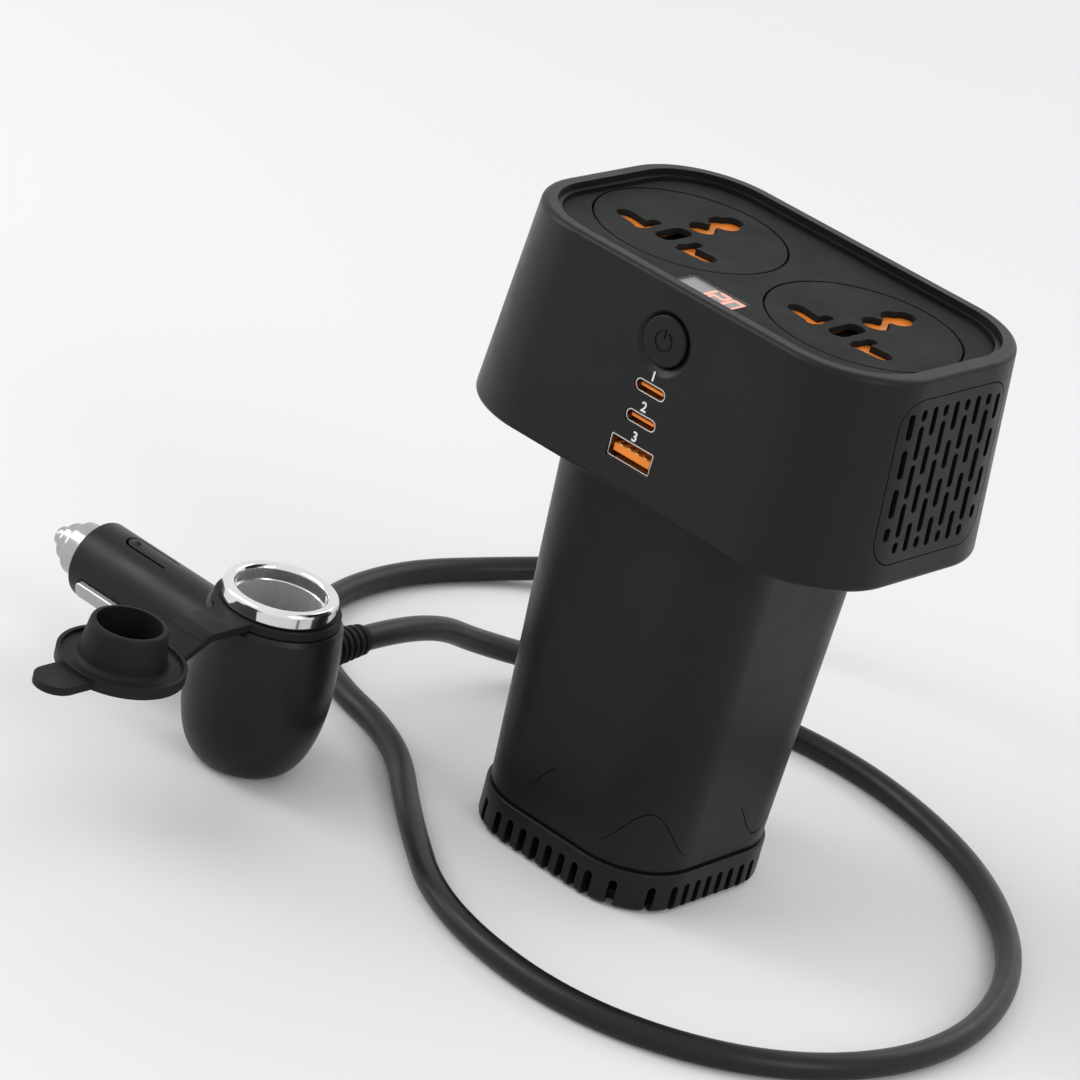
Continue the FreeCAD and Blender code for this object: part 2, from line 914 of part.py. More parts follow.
def grille_slots():
    """Slots of one grille, staggered from column to column."""
    long_half = (grille_row_pitch - grille_long_bridge) / 2
    short_half = (grille_row_pitch - grille_short_bridge) / 2
    limit = grille_height / 2 - grille_corner + grille_edge_margin
    tools = []
    for k in range(grille_columns):
        y = grille_pitch * (k - (grille_columns - 1) / 2)
        if k % 2 == 0:
            for row in (-1.5, -0.5, 0.5, 1.5):
                centre = grille_middle + row * grille_row_pitch
                low, high = centre - short_half, centre + short_half
                if k in (0, grille_columns - 1):
                    low = max(low, grille_middle - limit)
                    high = min(high, grille_middle + limit + grille_edge_stretch)
                tools.append(grille_slit(y, low, high))
        else:
            for row in (-1, 0, 1):
                centre = grille_middle + row * grille_row_pitch
                tools.append(grille_slit(y, centre - long_half, centre + long_half))
            for side in (-1, 1):
                centre = grille_middle + side * (grille_row_pitch * 1.5 + grille_dot_shift)
                tools.append(grille_slit(y, centre - grille_dot / 2, centre + grille_dot / 2))
    return tools


def make_grille():
    outer = head_block(0, head_base + rim_round, plate_under)
    wall = outer.cut(head_block(head_wall, head_base, plate_under + past))
    return cut(wall.common(end_prism(-grille_gap)), grille_slots())


keep_pair("grille", make_grille())


# Column shell with its wavy grooves
def outline_point(s, z, out):
    """Point at s quarters round the column's outline at a height, moved outward."""
    half = column_half(z)
    flat = 2 * (half - column_corner)
    quarter = flat + column_corner * math.pi / 2
    turn, rest = divmod(s * quarter, quarter)
    rest -= flat / 2
    if rest <= flat / 2:
        x, y, nx, ny = half, rest, 1.0, 0.0
    else:
        a = (rest - flat / 2) / column_corner
        nx, ny = math.cos(a), math.sin(a)
        x = half - column_corner + column_corner * nx
        y = half - column_corner + column_corner * ny
    x, y = x + nx * out, y + ny * out
    a = turn * math.pi / 2
    return V(x * math.cos(a) - y * math.sin(a), x * math.sin(a) + y * math.cos(a), z)


def wave_cutter(start, end):
    """Wavy strip between two places round the column, thin at its ends, that cuts one groove."""
    flat = 2 * (column_half_base - column_corner)
    quarter = flat + column_corner * math.pi / 2
    count = round((end - start) / wave_step)
    lines = [[], [], [], []]
    for k in range(count + 1):
        s = start + (end - start) * k / count
        phase = 4 * math.pi * (s - flat / 2 / quarter)
        z = base_height + wave_rise + wave_height / 2 * math.cos(phase)
        share = min(1.0, min(s - start, end - s) / wave_fade)
        deep, half = -wave_depth * share + shaft_gap * (1 - share), wave_width / 2 * (1 + share) / 2
        for line, out, lift in zip(lines, (past, deep, deep, past), (half, half, -half, -half)):
            line.append(outline_point(s % 4, z, out) + V(0, 0, lift))
    curves = []
    for line in lines:
        curve = Part.BSplineCurve()
        curve.interpolate(line)
        curves.append(curve.toShape())
    faces = [Part.makeRuledSurface(curves[k], curves[(k + 1) % 4]) for k in range(4)]
    for k in (0, -1):
        corners_here = [line[k] for line in lines]
        faces.append(Part.Face(Part.makePolygon(corners_here + corners_here[:1])))
    shell = Part.Shell(faces)
    shell.sewShape()
    solid = Part.Solid(shell)
    if solid.Volume < 0:
        solid.reverse()
    return solid


def make_column():
    foot = base_height + seat_gap
    column = column_block(0, foot, head_base).cut(column_block(column_wall, foot - past, head_base + past))
    envelope = column_block(column_wall / 2, foot + rail_end, head_base)
    fittings = []
    for side in (-1, 1):
        x0, x1 = sorted((side * (pcb_half_width - rail_depth), side * column_half_top))
        rail = box(x0, x1, pcb_offset - rail_wall, pcb_rear + rail_wall, pcb_foot + rail_end,
                   pcb_foot + pcb_length - rail_end)
        fittings.append(rail.common(envelope))
    for x, y in head_screws_at:
        fittings.append(tube(screw_boss_r, head_base - screw_boss_length, head_base, x, y).common(envelope))
    grooves = [box(-pcb_half_width - seat_gap, pcb_half_width + seat_gap, pcb_offset - seat_gap,
                   pcb_rear + seat_gap, pcb_foot, pcb_foot + pcb_length)]
    grooves += [wave_cutter(start, end) for start, end in wave_arcs]
    pilot_end = head_base - screw_reach - past
    grooves += [tube(screw_r, pilot_end, head_base + past, x, y) for x, y in head_screws_at]
    return cut(fuse([column] + fittings), grooves)


def screw(x, y, under, head_r, reach):
    """Pan-head screw standing in a pilot hole, its head on the level under."""
    return fuse([tube(head_r, under, under + screw_head_height, x, y),
                 tube(screw_r - shaft_gap, under - reach, under, x, y)])


keep("column_shell", make_column())
head_screw = screw(0, 0, head_base + head_floor, screw_head_r, screw_reach + head_floor)
keep("head_screws", Part.Compound([moved(head_screw, x, y) for x, y in head_screws_at]))

# Vented base tray and foot
fan_posts_at = corners(fan_post_at, fan_post_at)


def vent(at, angle, reach):
    """Upright round-topped slot cut inward from a point of the outline."""
    w = vent_width / 2
    opening = fuse([box(-vent_depth, past, -w, w, -past, vent_top - w),
                    rod(w, V(-vent_depth, 0, vent_top - w), V(past, 0, vent_top - w))])
    opening.translate(V(reach, 0, 0))
    opening.rotate(V(0, 0, 0), Z, angle)
    opening.translate(at)
    return opening


def tray_vents():
    centre = V(tray_half - column_corner, tray_half - column_corner, 0)
    tools = []
    for quarter in (0, 90, 180, 270):
        offsets = [vent_pitch * (k - (vents_per_face - 1) / 2) for k in range(vents_per_face)]
        ring = [vent(V(0, offset, 0), 0, tray_half) for offset in offsets]
        ring += [vent(centre, corner_vent_angle, column_corner),
                 vent(centre, 90 - corner_vent_angle, column_corner)]
        for tool in ring:
            tool.rotate(V(0, 0, 0), Z, quarter)
        tools += ring
    return tools


def make_tray():
    rim = base_height - seam_height
    tray = block(tray_half, tray_half, column_corner + tray_proud, foot_stand_off, rim)
    bottom = [e for e in tray.Edges if e.BoundBox.ZMax < foot_stand_off + seat_gap]
    tray = tray.makeFillet(tray_round, bottom)
    top = [e for e in tray.Edges if e.BoundBox.ZMin > rim - seat_gap]
    tray = tray.makeFillet(tray_edge, top)
    ledge_half = column_half_base - seam_depth
    ledge = block(ledge_half, ledge_half, column_corner - seam_depth, rim - past, base_height)
    inner_half = tray_half - tray_wall
    inside = foot_stand_off + tray_floor
    inner_corner = column_corner + tray_proud - tray_wall
    pad_half = foot_half + seat_gap
    hollows = [block(inner_half, inner_half, inner_corner, inside, base_height + past),
               block(pad_half, pad_half, foot_corner + seat_gap, -past, foot_thickness)]
    tray = cut(fuse([tray, ledge]), hollows)
    tray = fuse([tray] + [tube(fan_post_r, inside, fan_lift, x, y) for x, y in fan_posts_at])
    pilot_end = fan_lift - fan_screw_reach - past
    pilots = [tube(screw_r, pilot_end, fan_lift + past, x, y) for x, y in fan_posts_at]
    return cut(tray, tray_vents() + pilots)


keep("base_tray", make_tray())
keep("foot_pad", block(foot_half, foot_half, foot_corner, 0, foot_thickness))


# Fan
def make_fan_frame():
    frame = box(-fan_size / 2, fan_size / 2, -fan_size / 2, fan_size / 2, fan_lift, fan_top)
    frame = frame.cut(tube(fan_bore_r, fan_lift - past, fan_top + past))
    spokes = [tube(fan_hub_r, fan_lift, fan_lift + fan_plate)]
    for k in range(fan_spokes):
        spoke = box(0, fan_bore_r + fan_frame_wall / 2, -fan_spoke_width / 2, fan_spoke_width / 2,
                    fan_lift, fan_lift + fan_plate)
        spoke.rotate(V(0, 0, 0), Z, fan_spoke_start + 360 * k / fan_spokes)
        spokes.append(spoke)
    holes = [tube(screw_r + slide_gap, fan_lift - past, fan_top + past, x, y) for x, y in fan_posts_at]
    holes.append(tube(fan_shaft_r + shaft_gap, fan_lift - past, fan_lift + fan_plate + past))
    return cut(fuse([frame] + spokes), holes)


def make_rotor():
    low, high = fan_lift + fan_plate + slide_gap, fan_top - slide_gap
    pieces = [tube(fan_hub_r, low, high), tube(fan_shaft_r, fan_lift + seat_gap, low + seat_gap)]
    for k in range(fan_blades):
        blade = box(fan_hub_r - past, fan_tip_r, -fan_blade_thickness / 2, fan_blade_thickness / 2,
                    -fan_blade_chord / 2, fan_blade_chord / 2)
        blade.rotate(V(0, 0, 0), X, fan_pitch_angle)
        blade.translate(V(0, 0, (low + high) / 2))
        blade.rotate(V(0, 0, 0), Z, 360 * k / fan_blades)
        pieces.append(blade)
    envelope = fuse([tube(fan_tip_r, low, high), tube(fan_shaft_r, fan_lift, high)])
    return fuse(pieces).common(envelope)


keep("fan_frame", make_fan_frame())
keep("fan_rotor", make_rotor())
keep("fan_screws", Part.Compound([screw(x, y, fan_top, fan_screw_head_r, fan_height + fan_screw_reach)
                                  for x, y in fan_posts_at]))

# Main board and what it carries
keep("main_board", box(-pcb_half_width, pcb_half_width, pcb_offset, pcb_rear,
                       pcb_foot, pcb_foot + pcb_length))
core_z = pcb_foot + pcb_length - core_height / 2 - core_margin
core_y = pcb_offset - core_depth / 2 - coil_build
half_w, half_d, half_h = core_width / 2, core_depth / 2, core_height / 2
leg_half = half_w * 3 / 8
window_half = half_h - core_yoke


def make_core():
    core = box(-half_w, half_w, core_y - half_d, core_y + half_d, core_z - half_h, core_z + half_h)
    windows = []
    for side in (-1, 1):
        x0, x1 = sorted((side * leg_half, side * leg_half * 2))
        windows.append(box(x0, x1, core_y - half_d - past, core_y + half_d + past,
                           core_z - window_half, core_z + window_half))
    return cut(core, windows)


def make_winding():
    half_x, half_y, half_z = leg_half * 2 - seat_gap, half_d + coil_build, window_half - coil_end_gap
    coil = box(-half_x, half_x, core_y - half_y, core_y + half_y, core_z - half_z, core_z + half_z)
    leg = leg_half + seat_gap
    depth = half_d + seat_gap
    return coil.cut(box(-leg, leg, core_y - depth, core_y + depth, core_z - half_h, core_z + half_h))


def make_capacitors():
    z = pcb_foot + capacitor_r + capacitor_margin
    pitch = capacitor_spacing * capacitor_r
    return Part.Compound([rod(capacitor_r, V(k * pitch, pcb_offset - capacitor_length, z),
                              V(k * pitch, pcb_offset, z)) for k in (-1, 0, 1)])


sink_z = pcb_foot + sink_margin
sink_y = pcb_rear + chip_depth


def make_transistors():
    chips = []
    for k in range(chip_count):
        x = (k - (chip_count - 1) / 2) * sink_width / chip_count
        chips.append(box(x - chip_half, x + chip_half, pcb_rear, sink_y,
                         sink_z + chip_margin, sink_z + chip_margin + chip_height))
    return Part.Compound(chips)


def make_sink():
    plate_back = sink_y + sink_plate
    fins = [box(-sink_width / 2, sink_width / 2, sink_y, plate_back, sink_z, sink_z + sink_height)]
    for k in range(fin_count):
        x = (k - (fin_count - 1) / 2) * (sink_width - fin_thickness) / (fin_count - 1)
        fins.append(box(x - fin_thickness / 2, x + fin_thickness / 2, plate_back, plate_back + fin_depth,
                        sink_z, sink_z + sink_height))
    return fuse(fins)


keep("transformer_core", make_core())
keep("transformer_winding", make_winding())
keep("capacitors", make_capacitors())
keep("transistors", make_transistors())
keep("heat_sink", make_sink())

# Adapter barrel, sleeve, rim and floor
barrel_foot = V(barrel_x, barrel_y, 0)
plug_centre = V(barrel_x, barrel_y, plug_axis)


def upright(r, z0, z1):
    """Round rod on the barrel's axis."""
    return tube(r, z0, z1, barrel_x, barrel_y)


def barrel_solid():
    """The barrel's rounded body from its flat base to its shoulder."""
    side = [(0.55, 0.0), (0.71, 0.045), (0.845, 0.14), (0.94, 0.275), (0.995, 0.46), (1.0, 0.575),
            (0.985, 0.735), (0.93, 0.972)]
    pts = [V(barrel_x + barrel_r * share, barrel_y, shoulder * rise) for share, rise in side]
    curve = Part.BSplineCurve()
    curve.interpolate(pts)
    edge = V(barrel_x + shoulder_share * barrel_r, barrel_y, shoulder)
    centre = V(barrel_x, barrel_y, shoulder)
    edges = [curve.toShape(), Part.makeLine(pts[-1], edge), Part.makeLine(edge, centre),
             Part.makeLine(centre, barrel_foot), Part.makeLine(barrel_foot, pts[0])]
    return Part.Face(Part.Wire(edges)).revolve(barrel_foot, Z, 360)


whole_barrel = barrel_solid()
wire_passage = rod(cord_r, plug_centre, plug_centre + Y * 2 * barrel_r)


def make_barrel():
    bore = upright(sleeve_r + sleeve_wall + shaft_gap, floor_height / 2, barrel_top + past)
    plug_passage = rod(inner_r, plug_centre, plug_centre - X * plug_reach)
    slits = []
    for angle in (barrel_slit_angle, barrel_slit_angle + 180):
        slit = box(0, barrel_r, -barrel_slit_width / 2, barrel_slit_width / 2,
                   barrel_slit_low, barrel_slit_high)
        slit.rotate(V(0, 0, 0), Z, angle)
        slits.append(moved(slit, barrel_x, barrel_y))
    core = whole_barrel.copy()
    core.scale(1 - barrel_slit_depth / barrel_r, barrel_foot)
    slits = cut(Part.Compound(slits), [core])
    return cut(fuse([whole_barrel, upright(neck_r, shoulder - past, barrel_top)]),
               [bore, plug_passage, wire_passage, slits])


def make_rim():
    rim = upright(chrome_r, barrel_top, rim_high)
    rim = rim.cut(upright(chrome_mouth_r, barrel_top - past, rim_high + past))
    return rim.makeFillet(chrome_round, [e for e in rim.Edges if e.BoundBox.ZMin > rim_high - seat_gap])


stud_split = floor_height - stud_head_height
keep("adapter_barrel", make_barrel())
keep("socket_sleeve", upright(sleeve_r + sleeve_wall, floor_height, barrel_top).cut(
    upright(sleeve_r, floor_height - past, barrel_top + past)))
keep("chrome_rim", make_rim())
keep("socket_floor", cut(upright(sleeve_r + sleeve_wall, floor_height / 2, floor_height),
                         [upright(stud_r + seat_gap, floor_height / 2 - past, floor_height),
                          upright(stud_head_r + seat_gap, stud_split, floor_height + past)]))
keep("socket_stud", fuse([upright(stud_r, floor_height / 2, stud_split),
                          upright(stud_head_r, stud_split, floor_height)]))


# Plug
def on_plug(x):
    """Point on the plug's axis."""
    return V(x, barrel_y, plug_axis)


def along_plug(r, x0, x1):
    return rod(r, on_plug(x0), on_plug(x1))


def tongue_cutter():
    """Narrow slit round a springy tongue with a round end, on the plug's upper side."""
    x0, x1 = nose_x + tongue_start + tongue_half, nose_x + tongue_start + tongue_length
    top = plug_axis + plug_r + past
    outer = slot((x0, barrel_y), (x1, barrel_y), 2 * tongue_half + tongue_slit, plug_axis, top)
    inner = slot((x0, barrel_y), (x1 + tongue_length, barrel_y), 2 * tongue_half - tongue_slit,
                 plug_axis, top)
    reach = box(nose_x, x1, barrel_y - plug_r, barrel_y + plug_r, plug_axis, top)
    return outer.cut(inner).common(reach)


def side_prism(grow, r0, r1):
    """Round-cornered prism through the plug's front side, between two distances from its axis."""
    half_l, half_w = side_contact_length / 2, side_contact_width / 2
    plan = block(half_l + grow, half_w + grow, side_contact_corner + grow, 0, r1 - r0,
                 side_contact_x + half_l)
    return lying(plan, barrel_y - r1, plug_axis)


def turned(shape):
    """Turns a shape at the plug's front side down round the plug's axis to where the contact sits."""
    copy = shape.copy()
    copy.rotate(plug_centre, X, side_contact_droop)
    return copy


def mirrored(shape):
    """The same shape at the plug's back side."""
    return shape.mirror(plug_centre, Y)


def make_plug_body():
    plug = along_plug(plug_r, nose_x, barrel_x)
    plug = plug.makeFillet(plug_round, [e for e in plug.Edges if e.BoundBox.XMax < nose_x + seat_gap])
    plug = cut(plug, [whole_barrel, along_plug(inner_r, nose_x - past, barrel_x)])
    window = turned(side_prism(slide_gap, side_contact_depth, plug_r + past))
    bump = Part.makeSphere(bump_r, on_plug(nose_x + tongue_start + tongue_half) + Z * (plug_r - bump_r / 2))
    bump = bump.cut(along_plug(plug_r - bump_r / 2, nose_x, barrel_x))
    return fuse([cut(plug, [window, mirrored(window), tongue_cutter()]), bump])


def shoulder_points(r, height):
    """Rounded shoulder of a ring: (radius, height) points up to its end face."""
    points = []
    for k in range(5):
        a = math.radians(22.5 * k)
        points.append((r - nose_shoulder * (1 - math.cos(a)), height - nose_shoulder * (1 - math.sin(a))))
    return points


def make_nose():
    insert_r, bore_r = inner_r - seat_gap, tip_r + slide_gap
    steps = [(insert_r, -nose_insert), (insert_r, 0), (nose_r, 0)]
    steps += shoulder_points(nose_r, nose_step)
    steps += [(nose_end_r - nose_notch, nose_step), (nose_end_r, nose_step + nose_notch)]
    steps += shoulder_points(nose_end_r, nose_length)
    steps += [(bore_r, nose_length), (bore_r, -tip_seat), (insert_r - nose_insert_wall, -tip_seat),
              (insert_r - nose_insert_wall, -nose_insert)]
    return revolve(steps, on_plug(nose_x), -X, Z)


def make_tip():
    end, seat = nose_length + tip_proud, -tip_seat - slide_gap
    steps = [(0, end), (tip_r * 0.55, end), (tip_r * 0.9, end - tip_bevel), (tip_r, end - tip_taper),
             (tip_r, seat), (tip_flange_r, seat), (tip_flange_r, seat - tip_flange), (0, seat - tip_flange)]
    return revolve(steps, on_plug(nose_x), -X, Z)


spring_start = nose_x + tip_seat + slide_gap + tip_flange
fuse_start = spring_start + tip_travel + spring_solid_length
fuse_end = fuse_start + fuse_length


def make_fuse_holder():
    holder = along_plug(inner_r - seat_gap, fuse_start + holder_back, fuse_end + holder_end)
    reach = side_contact_x + side_contact_length + holder_end
    room = turned(box(side_contact_x - past, reach, barrel_y - plug_r, barrel_y - side_contact_depth,
                      plug_axis - side_contact_room, plug_axis + side_contact_room))
    return cut(holder, [along_plug(fuse_r + shaft_gap, fuse_start, fuse_end), room, mirrored(room)])


def make_side_contact():
    """Pressed strip that springs in and out of the plug's side, held by hooks at its two ends."""
    half = side_contact_width / 2
    crest = plug_r + side_contact_proud
    high = math.sqrt(inner_r ** 2 - half ** 2) - seat_gap
    low = high - side_contact_strip
    outer = side_prism(0, low, crest)
    face_edges = [e for e in outer.Edges if e.BoundBox.YMax < barrel_y - crest + seat_gap]
    outer = outer.makeFillet(side_contact_round, face_edges)
    hook_end = side_contact_x + side_contact_length + side_contact_hook
    hooks = box(side_contact_x - side_contact_hook, hook_end, barrel_y - high, barrel_y - low,
                plug_axis - half, plug_axis + half)
    hollow = side_prism(-side_contact_strip, low - past, crest - side_contact_strip)
    return turned(fuse([outer, hooks]).cut(hollow))


keep("plug_body", make_plug_body())
keep("plug_nose", make_nose())
keep("plug_tip", make_tip())
keep("tip_spring", along_plug(tip_spring_r, spring_start, fuse_start).cut(
    along_plug(tip_spring_r - tip_spring_wall, spring_start - past, fuse_start + past)))
keep("plug_fuse", along_plug(fuse_r, fuse_start, fuse_end))
keep("fuse_holder", make_fuse_holder())
keep("side_contact_front", make_side_contact())
keep("side_contact_back", mirrored(make_side_contact()))


# Neck ring with its strap, and the dust cap beyond the hinge line
def make_strap():
    half = strap_width / 2
    collar = upright(chrome_r + collar_proud, strap_low, strap_high)
    band = box(barrel_x - half, barrel_x + half, hinge_y + hinge_gap, barrel_y - neck_r,
               strap_low, strap_high)
    return fuse([collar, band]).cut(upright(neck_r + seat_gap, 0, rim_high))


def make_cap():
    centre = V(barrel_x, cap_y, cap_face)
    lip_r = cap_flange_r - cap_lip_width
    flare = [(cap_cup_r + cap_flare * (1 - math.sin(a)), cap_flare * (1 - math.cos(a)))
             for a in (math.radians(15 * k) for k in range(7))]
    top, corner = cap_height, cap_round * (1 - math.sqrt(0.5))
    outline = [(0, -cap_thickness), (cap_flange_r, -cap_thickness), (cap_flange_r, cap_lip_height),
               (lip_r, cap_lip_height), (lip_r, 0)] + flare
    outline += [(cap_mouth_r, top - cap_round), (cap_mouth_r - corner, top - corner),
                (cap_mouth_r - cap_round, top), (cap_bore_r, top), (cap_bore_r, 0), (0, 0)]
    body = revolve(outline, centre, Z, X)
    tab_end = cap_y - tab_reach + tab_width / 2
    tab = slot((barrel_x, cap_y), (barrel_x, tab_end), tab_width, cap_low, cap_face)
    tab = tab.cut(tube(cap_cup_r, cap_low - past, cap_face + past, barrel_x, cap_y))
    rim_y = cap_y + cap_flange_r
    inner_y = rim_y - cap_lip_width - cap_thickness
    near_y, bend_y = hinge_y - hinge_gap, hinge_y - cap_thickness
    ramp = [(near_y, strap_low), (near_y, strap_high), (bend_y, strap_high), (rim_y, cap_face),
            (inner_y, cap_face), (inner_y, cap_low), (rim_y, cap_low), (bend_y, strap_low)]
    ramp_wire = Part.makePolygon([V(barrel_x - strap_width / 2, y, z) for y, z in ramp + ramp[:1]])
    return fuse([body, tab, Part.Face(ramp_wire).extrude(V(strap_width, 0, 0))])


keep("cap_strap", make_strap())
keep("dust_cap", make_cap())


# Strain reliefs
def relief_profile(start, length):
    """Ribbed taper: (radius, distance) points from a start distance outward."""
    pts = []
    step = length / relief_ribs
    for k in range(relief_ribs):
        r = relief_root_r + (relief_tip_r - relief_root_r) * k / (relief_ribs - 1)
        groove = max(r - rib_depth, cord_r + 2 * seat_gap)
        near = start + k * step
        pts += [(r, near), (r, near + step * rib_share), (groove, near + step * (rib_share + rib_slope)),
                (groove, near + step * (1 - rib_slope))]
    return pts


head_back = head_half(cord_exit_z)[1]
head_exit = V(cord_exit_x, head_back, cord_exit_z)
boot_start = barrel_r - relief_start


def make_head_relief():
    flange_r, throat_r = relief_root_r + relief_flange, relief_root_r - relief_throat
    outer = -head_wall - relief_flange_gap
    inner = outer - relief_flange_thickness
    root = [(0, inner), (flange_r, inner), (flange_r, outer), (throat_r, outer), (throat_r, room_gap)]
    ribs = relief_profile(room_gap, relief_length - room_gap)
    return revolve(root + ribs + [(0, relief_length)], head_exit, Y, Z)


def make_adapter_relief():
    root_r, inner = relief_root_r - relief_neck, boot_start - relief_depth
    root = [(0, inner), (root_r, inner), (root_r, boot_start)]
    ribs = relief_profile(boot_start, relief_length)
    boot = revolve(root + ribs + [(0, boot_start + relief_length)], plug_centre, Y, Z)
    return boot.cut(whole_barrel.cut(wire_passage))


keep("head_strain_relief", make_head_relief())
keep("adapter_strain_relief", make_adapter_relief())

# Power cord: straight runs joined by tangent arcs
cord_start = head_exit + Y * relief_length
cord_end = plug_centre + Y * (boot_start + relief_length)
lie = cord_r
cord_points = [
    cord_start, V(cord_exit_x, 90, cord_exit_z), V(-26, 114, 93), V(-42, 122, 62), V(-62, 120, 32),
    V(-88, 108, 10), V(-112, 82, lie), V(-124, 46, lie), V(-118, 8, lie), V(-90, -14, lie),
    V(-56, -22, lie), V(-28, -48, lie), V(6, -74, lie), V(54, -78, lie), V(94, -52, lie),
    V(110, -6, lie), V(96, 42, lie), V(60, 76, lie), V(14, 90, lie), V(-28, 84, lie),
    V(-62, 57, lie), V(-73, 26, 12), V(barrel_x, -2, plug_axis), cord_end,
]


def cord_path(points):
    """Wire of runs and arcs, its length and the arcs' radii."""
    edges = []
    radii = []
    at = points[0]
    for before, corner, after in zip(points, points[1:], points[2:]):
        u, w = corner - before, after - corner
        half_turn = u.getAngle(w) / 2
        reach = 0.45 * min(u.Length, w.Length)
        radius = reach / math.tan(half_turn)
        u, w = V(u).normalize(), V(w).normalize()
        first, last = corner - u * reach, corner + w * reach
        bisector = (w - u).normalize()
        edges.append(Part.LineSegment(at, first).toShape())
        crown = corner + bisector * radius * (1 / math.cos(half_turn) - 1)
        edges.append(Part.Arc(first, crown, last).toShape())
        radii.append(radius)
        at = last
    edges.append(Part.LineSegment(at, points[-1]).toShape())
    return Part.Wire(edges), sum(e.Length for e in edges), radii


path, cord_length, radii = cord_path(cord_points)
section = Part.Wire(Part.makeCircle(cord_r, cord_points[0], cord_points[1] - cord_points[0]))
cord = path.makePipeShell([section], True, False)
keep("power_cord", cord)
runs = [(b - a).Length for a, b in zip(cord_points, cord_points[1:])]
print("cord length", round(cord_length, 1))
print("cord volume ratio", round(cord.Volume / (cord_length * math.pi * cord_r ** 2), 4))
print("cord radii", [round(r) for r in radii])
print("cord runs", [round(r) for r in runs])

os.makedirs("parts", exist_ok=True)
for name, shape in parts.items():
    shape.exportStep("parts/" + name + ".step")
    if not shape.isValid() or shape.Volume <= 0:
        print("check", name)
print(len(parts), "pieces")
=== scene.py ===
import json
import math

import bmesh
import bpy
from mathutils import Matrix, Vector


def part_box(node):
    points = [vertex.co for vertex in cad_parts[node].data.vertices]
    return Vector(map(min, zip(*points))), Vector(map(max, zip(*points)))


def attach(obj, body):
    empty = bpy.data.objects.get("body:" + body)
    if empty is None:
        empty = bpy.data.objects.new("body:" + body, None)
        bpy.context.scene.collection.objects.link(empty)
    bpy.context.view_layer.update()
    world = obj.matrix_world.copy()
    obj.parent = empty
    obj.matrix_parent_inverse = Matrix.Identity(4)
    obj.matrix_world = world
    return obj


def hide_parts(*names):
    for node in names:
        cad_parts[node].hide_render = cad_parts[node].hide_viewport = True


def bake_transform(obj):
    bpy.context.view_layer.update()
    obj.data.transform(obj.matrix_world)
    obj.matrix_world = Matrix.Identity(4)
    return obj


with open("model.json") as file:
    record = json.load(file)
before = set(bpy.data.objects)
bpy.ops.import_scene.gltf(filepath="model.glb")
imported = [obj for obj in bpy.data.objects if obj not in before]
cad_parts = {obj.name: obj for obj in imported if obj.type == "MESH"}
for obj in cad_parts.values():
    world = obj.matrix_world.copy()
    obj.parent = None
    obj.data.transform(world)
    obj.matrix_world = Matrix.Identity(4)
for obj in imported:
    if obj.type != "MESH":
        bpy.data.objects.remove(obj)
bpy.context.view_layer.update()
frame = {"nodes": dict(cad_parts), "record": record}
MM = 0.001

# Sizes repeated from the part, in millimetres
CORD_R = 3.25
CORD_EXIT = (-18.0, 57.43, 114.1)
BARREL = (-71.5, -62.3)
HINGE = (-88.3, 43.3)
STRAP_HALF = 5.5
STRAP_BEND = 2.0
STRAP_SLOPE = 0.4
HEAD_FLOOR_Z = 106.5

# Where a noise's values mostly lie, and where a tint turns from dark to light
NOISE_RANGE = (0.3, 0.7)
TINT_STOPS = (0.35, 0.65)

# Surface detail that many finishes share: grains per metre, and sizes in metres
CLOUD_GRAIN = 38.0
CLOUD_SWING = 0.1
GLOSS_GRAIN = 120.0
GLOSS_SWING = 0.05
MOULD_GRAIN = 2600.0
MOULD_STRENGTH = 0.25
MOULD_DEPTH = 0.00004
MOULD_EDGE = 0.00025
TOOL_GRAIN = 3000.0
TOOL_SWING = 0.2
TOOL_DEPTH = 0.00001
TOOL_EDGE = 0.0001
METAL_CLOUD_GRAIN = 60.0
METAL_CLOUD_SWING = 0.06
GLASS_GRAIN = 80.0
GLASS_SWING = 0.06
FIGURE_GRAIN = 300.0


def mm(*values):
    return Vector(values) * MM


# Materials
def new_material(name, color, roughness, specular=0.5, metallic=0.0):
    """A principled material and handles to its nodes."""
    material = bpy.data.materials.new(name)
    material.use_nodes = True
    tree = material.node_tree
    shader = tree.nodes["Principled BSDF"]
    shader.inputs["Base Color"].default_value = (*color, 1.0)
    shader.inputs["Roughness"].default_value = roughness
    shader.inputs["Specular IOR Level"].default_value = specular
    shader.inputs["Metallic"].default_value = metallic
    return material, tree, shader


def noise(tree, scale, detail=3.0, stretch=None):
    """Noise in the object's own coordinates; scale counts grains per metre."""
    where = tree.nodes.new("ShaderNodeTexCoord")
    texture = tree.nodes.new("ShaderNodeTexNoise")
    texture.inputs["Scale"].default_value = scale
    texture.inputs["Detail"].default_value = detail
    source = where.outputs["Object"]
    if stretch:
        mapping = tree.nodes.new("ShaderNodeMapping")
        mapping.inputs["Scale"].default_value = stretch
        tree.links.new(source, mapping.inputs["Vector"])
        source = mapping.outputs["Vector"]
    tree.links.new(source, texture.inputs["Vector"])
    return texture.outputs["Fac"]


def spread(tree, fac, low, high, socket):
    """Drives a socket from low to high with a noise."""
    span = tree.nodes.new("ShaderNodeMapRange")
    span.inputs["From Min"].default_value, span.inputs["From Max"].default_value = NOISE_RANGE
    span.inputs["To Min"].default_value = low
    span.inputs["To Max"].default_value = high
    tree.links.new(fac, span.inputs["Value"])
    tree.links.new(span.outputs["Result"], socket)


